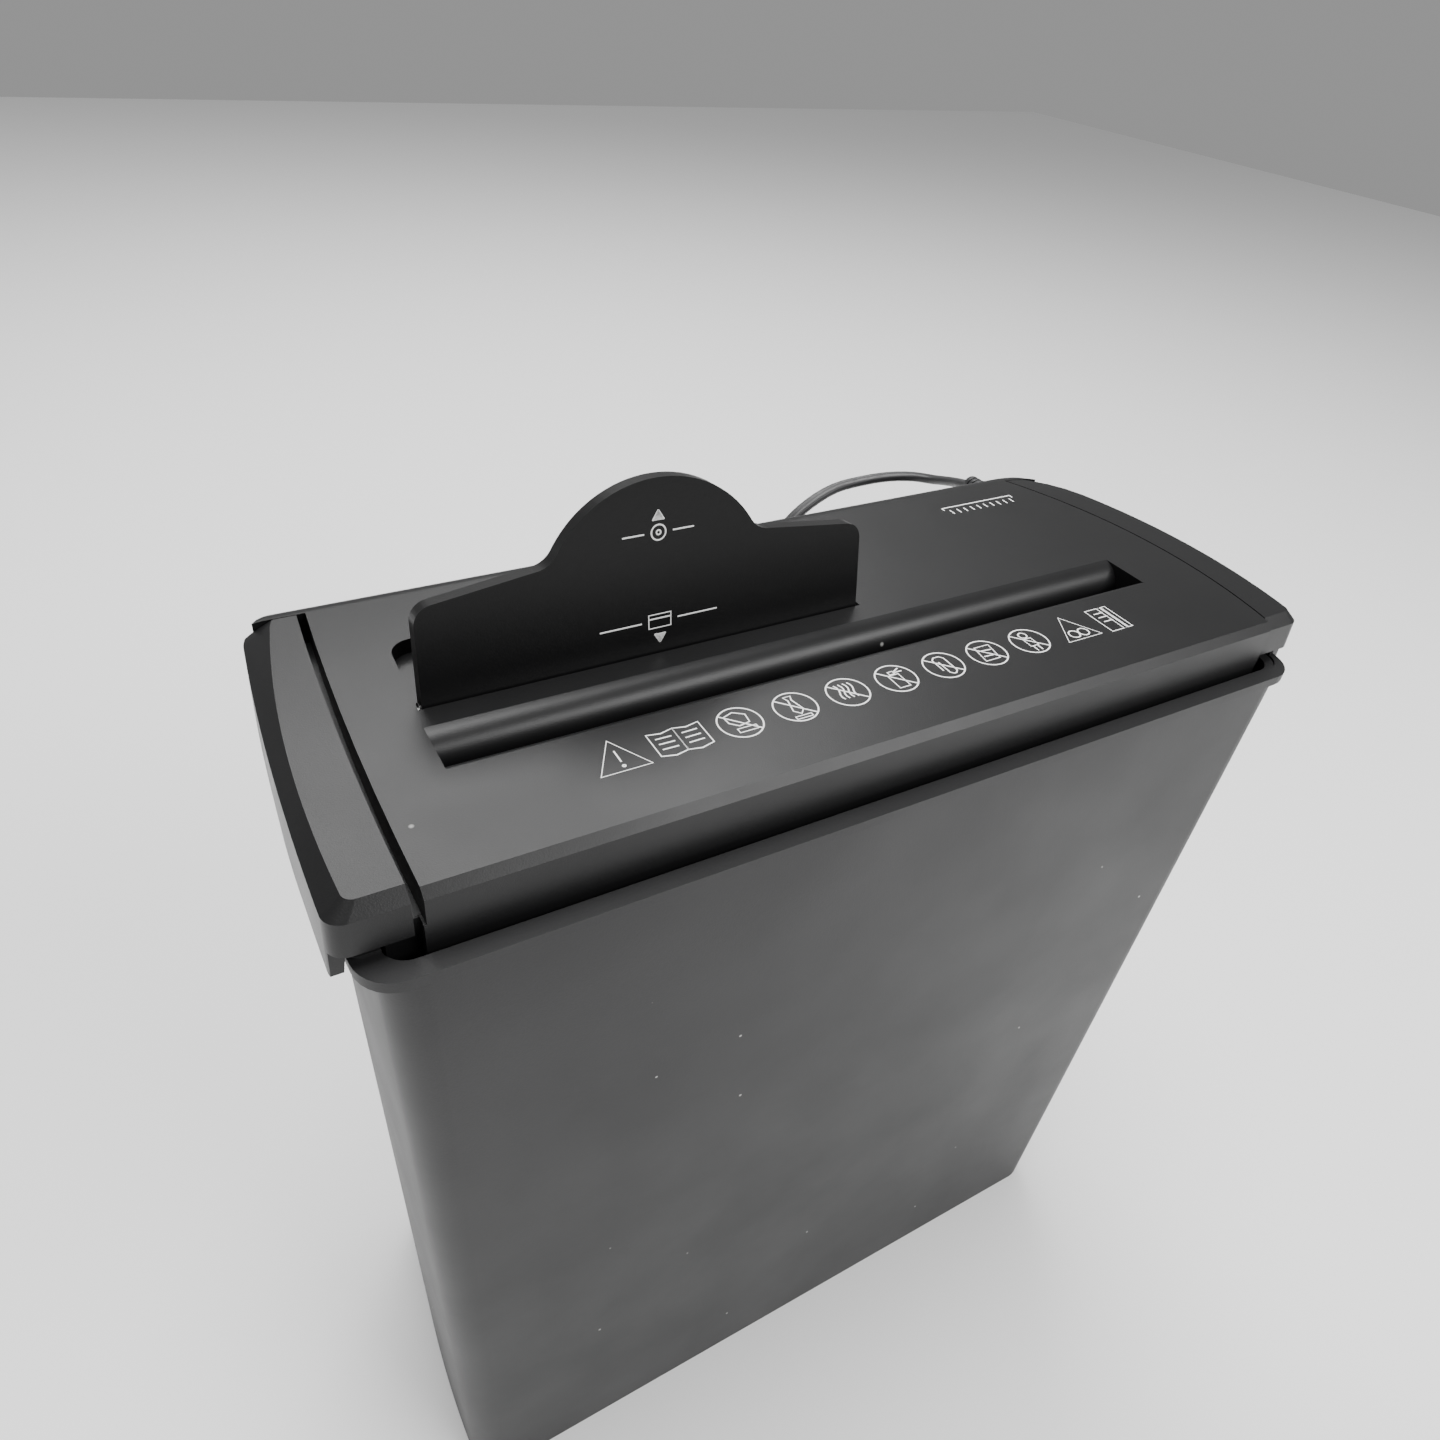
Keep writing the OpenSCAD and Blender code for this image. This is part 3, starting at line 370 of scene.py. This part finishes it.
def soft_light(name, at, aim, wide, tall, power):
    data = bpy.data.lights.new(name, "AREA")
    data.shape = "RECTANGLE"
    data.size, data.size_y, data.energy = wide, tall, power
    lamp = bpy.data.objects.new(name, data)
    bpy.context.collection.objects.link(lamp)
    lamp.location = at
    lamp.rotation_euler = (Vector(aim) - Vector(at)).to_track_quat("-Z", "Y").to_euler()


soft_light("behind", (0.3, 1.05, 1.6), (0, 0, 0.3), 1.2, 0.8, 24)
soft_light("above", (-0.1, 0.1, 2.1), (0, 0, 0.3), 1.2, 1.0, 44)
soft_light("window", (0.6, -0.95, 1.1), (0, 0, 0.3), 1.0, 0.4, 15)

# --- Waste bin ------------------------------------------------------------
# One-piece injection-moulded bin in black polypropylene, with a fine spark
# texture outside and a stiff turned-out rim that the head sits on.
def moulding_black(name, colour, grain, rough, specks=0.0):
    made = material(name, colour, rough)
    made.node_tree.nodes["Principled BSDF"].inputs["Specular IOR Level"].default_value = 0.34
    spot = own_place(made)
    fine = noise(made, spot, grain, 2.0, 0.6)
    broad = noise(made, spot, 18, 4.0, 0.55)
    feed(made, remap(made, broad, 0.3, 0.7, rough - 0.035, rough + 0.05), "Roughness")
    feed(made, relief(made, fine, 0.00005, 0.55, relief(made, noise(made, spot, grain / 5), 0.00006, 0.25)),
         "Normal")
    tint = mix_colours(made, noise(made, spot, grain * 0.8, 2.0), tuple(c * 0.8 for c in colour),
                       tuple(c * 1.25 for c in colour))
    if specks:
        dust = remap(made, node(made, "ShaderNodeTexVoronoi", {"Vector": spot.outputs["Vector"]},
                                scale=specks).outputs["Distance"], 0.018, 0.03, 1.0, 0.0)
        lint = made.node_tree.nodes.new("ShaderNodeMix")
        lint.data_type = "RGBA"
        made.node_tree.links.new(dust, lint.inputs[0])
        made.node_tree.links.new(tint, lint.inputs[6])
        lint.inputs[7].default_value = (0.5, 0.5, 0.48, 1)
        tint = lint.outputs[2]
    feed(made, tint, "Base Color")
    return made


bin_black = moulding_black("spark-textured black bin", (0.016, 0.016, 0.0165), 2200, 0.46, 55)
moulded_shell("bin", "bin_shell", bin_black, 0.0009, "waste_bin", 40)

# --- Cutter frame ---------------------------------------------------------
# Two punched plates of zinc-plated steel, held apart by four drawn tie rods
# with pan-head screws; sintered bronze bushes sit in their bores.
zinc_sheet = metal("zinc-plated sheet steel", (0.62, 0.63, 0.64), 0.34, 260, (1, 1, 1), 240)
drawn_steel = metal("drawn bright steel", (0.58, 0.58, 0.58), 0.24, 900, (0.06, 1, 1))
sintered_bronze = metal("oil-soaked sintered bronze", (0.52, 0.33, 0.16), 0.42, 2600)
black_oxide = metal("black oxide screw steel", (0.06, 0.06, 0.062), 0.42, 1500)
for side in ("left_side_plate", "right_side_plate"):
    moulded_shell(side, side + "_plate", zinc_sheet, 0.00018, "head", 40, 2)
dress(drawn_steel, "tie_rods")
dress(zinc_sheet, "frame_screws")
dress(sintered_bronze, "cutter_bushes")

# --- Cutters --------------------------------------------------------------
# Hexagonal shafts carry hardened, ground discs with nylon spacers between;
# two moulded combs reach in between the discs and keep the strips moving.
ground_steel = metal("hardened ground cutter steel", (0.46, 0.46, 0.47), 0.3, 1400, (0.3, 1, 1))
moulded_nylon = moulding_black("plain dark nylon", (0.045, 0.045, 0.046), 1200, 0.48)
natural_acetal = moulding_black("natural white acetal", (0.72, 0.7, 0.62), 900, 0.34)
dress(drawn_steel, "front_cutter_shaft", "rear_cutter_shaft")
dress(ground_steel, "front_cutter_discs", "rear_cutter_discs")
dress(moulded_nylon, "front_spacers", "rear_spacers", "front_stripper_comb", "rear_stripper_comb")

# --- Gear train -----------------------------------------------------------
# Acetal reduction gears, the first two on steel axles with spring rings. The
# pair that couples both cutter shafts is sintered steel, for its cutting load.
sintered_steel = metal("sintered gear steel", (0.3, 0.3, 0.31), 0.46, 3000)
dress(natural_acetal, "first_gear", "second_gear", "final_drive_gear")
dress(sintered_steel, "front_cutter_gear", "rear_cutter_gear")
dress(drawn_steel, "gear_axles")
dress(black_oxide, "retaining_rings", "housing_screws")

# --- Motor ----------------------------------------------------------------
# Direct-current motor: drawn zinc-plated can, moulded end bell, ferrite
# magnets, slotted armature with enamelled copper, and a small brass pinion.
ferrite = moulding_black("sintered ferrite magnet", (0.05, 0.05, 0.053), 2400, 0.55)
enamelled_copper = metal("enamelled copper winding", (0.55, 0.25, 0.12), 0.3, 1100, (0.15, 1, 1))
brass = metal("turned brass", (0.66, 0.5, 0.22), 0.26, 1200, (0.2, 1, 1))
dress(zinc_sheet, "motor_can")
dress(moulded_nylon, "motor_end_bell")
dress(ferrite, "motor_magnets")
dress(enamelled_copper, "motor_rotor")
dress(drawn_steel, "motor_shaft")
dress(brass, "motor_pinion")

# --- Circuit board and switches -------------------------------------------
# Green-lacquered laminate with its parts in black mouldings, and beside it
# the thermal cut-out, paper switch, bin interlock and mode switch.
board_green = moulding_black("green-lacquered laminate", (0.03, 0.16, 0.06), 1600, 0.32)
tracks = noise(board_green, own_place(board_green, (1, 6, 1)), 220, 1.0)
feed(board_green, mix_colours(board_green, remap(board_green, tracks, 0.49, 0.51, 0, 1),
                              (0.025, 0.13, 0.05), (0.05, 0.22, 0.09)), "Base Color")
dress(board_green, "circuit_board")
part_black = moulding_black("black component moulding", (0.03, 0.03, 0.031), 1800, 0.4)
dress(part_black, "board_components", "paper_switch", "interlock_switch")
dress(natural_acetal, "thermal_cutout", "interlock_plunger", "paper_lever")
moulded_shell("mode_switch", "mode_switch_case", part_black, 0.0002, "head", 40, 2)
moulded_shell("mode_switch_knob", "mode_knob_shell", part_black, 0.0005,
              "mode_knob", 40)
moulded_shell("cord_anchor", "cord_anchor_block", part_black, 0.0004, "head", 40, 2)

# --- Feed guide and lower housing -----------------------------------------
# The guide makes the walls of both chutes; the housing closes the head from
# below. Both are plain black mouldings fixed with the four long screws.
guide_black = moulding_black("plain black guide moulding", (0.022, 0.022, 0.023), 1400, 0.44)
moulded_shell("feed_guide", "feed_guide_walls", guide_black, 0.00025, "head", 35, 2)
moulded_shell("lower_housing", "lower_housing_shell", guide_black, 0.0004, "head", 35, 2)

# --- Top cover ------------------------------------------------------------
# Injection-moulded black ABS with a fine satin grain. The front edge is
# chamfered, the rear edge rolled, and both slots are rounded into it.
head_black = moulding_black("satin-grained black ABS", (0.007, 0.007, 0.0073), 2600, 0.36, 26)
moulded_shell("top_cover", "cover_shell", head_black, 0.0004, "head", 40, 3, 18)

# --- End caps -------------------------------------------------------------
# Bevelled caps of the same ABS, pushed on pegs at both ends; the left one
# leaves an open joint beside the cover, the right one a fine closed line.
for side in ("left", "right"):
    moulded_shell(side + "_end_cap", side + "_cap_shell", head_black, 0.0005,
                  "head", 14, 3, 18)

# --- Disc and card flap ---------------------------------------------------
# Smooth moulded leaf that turns on a drawn steel rod, with softened edges
# all round; it leans back a little when it stands open.
flap_black = moulding_black("smooth satin black flap", (0.004, 0.004, 0.0042), 1500, 0.34, 34)
moulded_shell("disc_flap", "flap_shell", flap_black, 0.0007, "flap", 40)
dress(drawn_steel, "flap_hinge_rod")


# --- Printed signs --------------------------------------------------------
# White pad-printed line signs on the cover's front strip and on the flap's
# face: a warning triangle, a booklet, seven forbidden things, rollers and
# sheets. Their points are in millimetres.
def ring_of(x, y, radius, count=28):
    angles = [2 * pi * k / count for k in range(count)]
    return [(x + radius * cos(angle), y + radius * sin(angle)) for angle in angles], True


def frame_of(x, y, wide, tall, lean=0.0):
    w, t = wide / 2, tall / 2
    return [(x - w - lean, y - t), (x + w - lean, y - t), (x + w + lean, y + t), (x - w + lean, y + t)], True


def stroke(*points):
    return list(points), False


ink = material("white pad-printing ink", (0.9, 0.9, 0.89), 0.5)
worn_ink = noise(ink, own_place(ink), 1800, 3.0)
feed(ink, mix_colours(ink, worn_ink, (0.82, 0.82, 0.81), (0.96, 0.96, 0.95)), "Base Color")
feed(ink, relief(ink, worn_ink, 0.00001, 0.3), "Normal")


def printed(name, shapes, to_face, body, width=0.42):
    line_work = bpy.data.curves.new(name + "_lines", "CURVE")
    line_work.dimensions = "3D"
    line_work.bevel_depth = width / 2000
    line_work.bevel_resolution = 1
    line_work.use_fill_caps = True
    for points, closed in shapes:
        spline = line_work.splines.new("POLY")
        spline.points.add(len(points) - 1)
        spline.use_cyclic_u = closed
        for point, (x, y) in zip(spline.points, points):
            point.co = (x / 1000, y / 1000, 0, 1)
    drawn = bpy.data.objects.new(name + "_lines", line_work)
    bpy.context.collection.objects.link(drawn)
    bpy.context.view_layer.update()
    flat = bpy.data.meshes.new_from_object(drawn.evaluated_get(bpy.context.evaluated_depsgraph_get()))
    bpy.data.objects.remove(drawn)
    bm = bmesh.new()
    bm.from_mesh(flat)
    flatten, lift = 0.25, 0.00001
    for vert in bm.verts:
        vert.co.z = vert.co.z * flatten + lift
        vert.co = to_face @ vert.co
    return finish_mesh(name, bm, ink, body, 80)


on_cover = Matrix.Translation((0, 0, top_z))
sign_y = -34.5
signs = [([(-84.9, sign_y - 5.2), (-71.9, sign_y - 5.2), (-78.4, sign_y + 6.2)], True)]
signs += [stroke((-78.4, sign_y + 2.2), (-78.4, sign_y - 2.0)), ring_of(-78.4, sign_y - 3.5, 0.35, 8)]
book_x = -62.1
for side in (-1, 1):
    middle_x, edge_x = book_x + side * 3.4, book_x + side * 7
    signs.append(([(book_x, sign_y - 4.2), (middle_x, sign_y - 4.9), (edge_x, sign_y - 4.0),
                   (edge_x, sign_y + 4.4), (middle_x, sign_y + 3.7), (book_x, sign_y + 4.5)], True))
    for up in (-2.0, 0.0, 2.0):
        signs.append(stroke((book_x + side * 1.4, sign_y + up), (book_x + side * 5.6, sign_y + up + 0.1)))
for x in (-45.6, -29.5, -13.4, 2.3, 18.3, 33.8, 49.6):
    signs.append(ring_of(x, sign_y, 5.8, 40))
    signs.append(stroke((x - 4.1, sign_y + 4.1), (x + 4.1, sign_y - 4.1)))
# Hand over a slot, necktie, strands, pressure can, clip, sheet with creases, child.
signs += [([(-48.6, sign_y + 3.2), (-45.6, sign_y + 4.2), (-42.9, sign_y + 2.4), (-43.3, sign_y - 0.6),
            (-46.4, sign_y - 1.2), (-48.4, sign_y + 0.6)], True),
          frame_of(-45.0, sign_y - 2.9, 5.2, 1.5),
          ([(-30.6, sign_y + 4.4), (-28.4, sign_y + 4.4), (-29.0, sign_y + 2.8), (-28.0, sign_y - 1.4),
            (-29.5, sign_y - 3.0), (-31.0, sign_y - 1.4), (-30.0, sign_y + 2.8)], True),
          frame_of(-29.5, sign_y - 4.2, 4.6, 1.0)]
for k in range(4):
    signs.append(([(-15.6 + 1.4 * k + 0.5 * sin(t), sign_y + 3.6 - t) for t in (0, 1, 2, 3, 4, 5, 6)], False))
signs += [frame_of(2.3, sign_y - 1.2, 3.4, 5.6), frame_of(2.3, sign_y + 2.5, 1.6, 1.2),
          stroke((3.4, sign_y + 2.8), (5.4, sign_y + 3.8)), stroke((3.4, sign_y + 2.4), (5.7, sign_y + 2.4)),
          stroke((16.6, sign_y - 2.2), (16.6, sign_y + 2.8), (17.6, sign_y + 3.8), (19.4, sign_y + 3.8),
                 (20.4, sign_y + 2.8), (20.4, sign_y - 3.2), (19.4, sign_y - 4.2), (18.6, sign_y - 4.2),
                 (17.8, sign_y - 3.4), (17.8, sign_y + 1.6)),
          frame_of(33.8, sign_y, 5.0, 6.4, 0.5), stroke((31.9, sign_y + 1.4), (36.0, sign_y + 1.0)),
          stroke((31.7, sign_y - 1.2), (35.6, sign_y - 1.4)),
          ring_of(49.6, sign_y + 2.9, 1.3, 16), frame_of(49.6, sign_y - 0.6, 2.8, 3.6),
          stroke((48.8, sign_y - 2.4), (48.8, sign_y - 4.8)),
          stroke((50.4, sign_y - 2.4), (50.4, sign_y - 4.8)),
          ([(60.2, sign_y - 5.2), (73.2, sign_y - 5.2), (66.7, sign_y + 6.2)], True),
          ring_of(64.9, sign_y - 2.4, 1.7, 18), ring_of(68.5, sign_y - 2.4, 1.7, 18),
          frame_of(80.4, sign_y, 6.6, 11.4), frame_of(82.6, sign_y, 1.4, 11.4),
          frame_of(84.6, sign_y, 1.6, 11.4),
          stroke((78.6, sign_y + 3.4), (82.2, sign_y + 3.4)),
          stroke((78.6, sign_y + 1.4), (82.2, sign_y + 1.4)),
          stroke((78.6, sign_y - 0.8), (82.2, sign_y - 0.8))]
printed("cover_signs", signs, on_cover, "head")

# A plain sheet running into strips, where makers put their mark.
mark = [stroke((80, 42), (111, 42)), stroke((80, 42), (80, 40.4)), stroke((111, 42), (111, 40.4))]
mark += [stroke((82 + 3 * k, 40), (82 + 3 * k, 37.4)) for k in range(10)]
printed("cover_mark", mark, on_cover, "head", 0.5)

# The flap's face leans back by eight degrees about its hinge rod.
hinge_low, hinge_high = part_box("flap_hinge_rod")
hinge = (hinge_low + hinge_high) / 2
flap_lean, half_flap = 8, 0.002
on_flap = (Matrix.Translation(hinge) @ Matrix.Rotation(radians(90 - flap_lean), 4, "X")
           @ Matrix.Translation((0, 0, half_flap)))
filled_up = [stroke((-1.6 + 0.16 * k, 37.8), (0, 40.4)) for k in range(21)]
filled_down = [stroke((-1.6 + 0.16 * k, 7.0), (0, 4.4)) for k in range(21)]
flap_signs = filled_up + filled_down
flap_signs += [ring_of(0, 34.6, 2.0, 28), ring_of(0, 34.6, 0.6, 12), frame_of(0, 10.6, 6.4, 3.8),
               stroke((-3.2, 11.3), (3.2, 11.3))]
for side in (-1, 1):
    flap_signs += [stroke((side * 4, 34.6), (side * 10, 34.6)), stroke((side * 5.2, 10.6), (side * 17, 10.6))]
printed("flap_signs", flap_signs, on_flap, "flap", 0.42)
